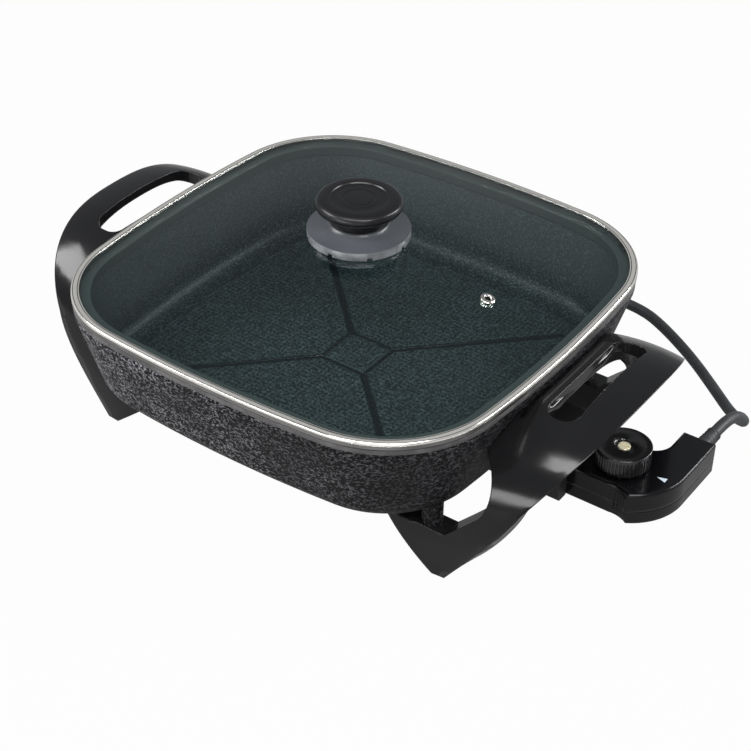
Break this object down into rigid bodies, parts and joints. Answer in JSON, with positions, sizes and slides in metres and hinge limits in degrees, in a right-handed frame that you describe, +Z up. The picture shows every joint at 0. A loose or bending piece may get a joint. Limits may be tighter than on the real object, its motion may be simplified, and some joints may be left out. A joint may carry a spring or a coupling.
{
  "type": "square electric skillet with glass lid",
  "caption": "Square electric skillet: cast pan on combined handles and legs, lift-off domed glass lid, plug-in heat control with dial and cord.",
  "frame": {"origin": "middle of the appliance's footprint box without its cord, on the table under the feet", "axes": "+X from the pan towards the heat control, -Y to the front, +Z up"},
  "size_m": [0.4414, 0.3838, 0.1705],
  "materials": {
    "pan": "cast, hammered charcoal paint outside and dark non-stick inside",
    "heating_element": "heat-darkened steel sheath",
    "terminal_pins": "plated",
    "sensor_well": "drawn steel tube",
    "terminal_guard": "moulded phenolic",
    "guard_screws": "plated",
    "right_handle": "glossy moulded phenolic",
    "left_handle": "glossy moulded phenolic",
    "leg_screws": "plated",
    "lid_rim": "polished stainless steel",
    "lid_glass": "clear tempered glass",
    "steam_vent": "polished stainless steel",
    "knob_base": "satin phenolic",
    "lid_knob": "satin phenolic",
    "knob_washer": "soft washer",
    "knob_screw": "plated",
    "control_upper_shell": "glossy moulded phenolic",
    "control_lower_shell": "glossy moulded phenolic",
    "shell_screws": "plated",
    "thermostat_frame": "pressed steel",
    "sensing_rod": "ground steel",
    "pin_sockets": "sprung brass",
    "strain_relief": "soft black moulding",
    "dial": "satin black moulding",
    "dial_screw": "turned brass",
    "dial_shaft": "turned steel",
    "supply_cord": "matt sheath",
    "cord_coil": "matt sheath",
    "cord_tie": "soft strap",
    "plug_cord": "matt sheath",
    "plug_body": "matt moulding",
    "plug_pins": "plated brass"
  },
  "bodies": {
    "skillet": {"pan": "pan", "heating_element": "heating_element", "terminal_pins": "terminal_pins", "sensor_well": "sensor_well", "terminal_guard": "terminal_guard", "guard_screws": "guard_screws", "right_handle": "right_handle", "left_handle": "left_handle", "leg_screws": "leg_screws"},
    "lid": {"lid_rim": "lid_rim", "lid_glass": "lid_glass", "steam_vent": "steam_vent", "knob_base": "knob_base", "lid_knob": "lid_knob", "knob_washer": "knob_washer", "knob_screw": "knob_screw"},
    "control": {"control_upper_shell": "control_upper_shell", "control_lower_shell": "control_lower_shell", "shell_screws": "shell_screws", "thermostat_frame": "thermostat_frame", "sensing_rod": "sensing_rod", "pin_sockets": "pin_sockets", "strain_relief": "strain_relief", "supply_cord": "supply_cord", "cord_coil": "cord_coil", "cord_tie": "cord_tie", "plug_cord": "plug_cord", "plug_body": "plug_body", "plug_pins": "plug_pins"},
    "dial": {"dial": "dial", "dial_screw": "dial_screw", "dial_shaft": "dial_shaft"}
  },
  "joints": [
    {"name": "lid_lift", "type": "slide", "parent": "skillet", "child": "lid", "axis": [0, 0, 1], "range_m": [0, 0.12]},
    {"name": "control_pull", "type": "slide", "parent": "skillet", "child": "control", "axis": [1, 0, 0], "range_m": [0, 0.08]},
    {"name": "dial_turn", "type": "hinge", "parent": "control", "child": "dial", "pos_m": [0.18331, 0, 0.0623], "axis": [0, 0, 1], "range_deg": [-300, 0]}
  ]
}
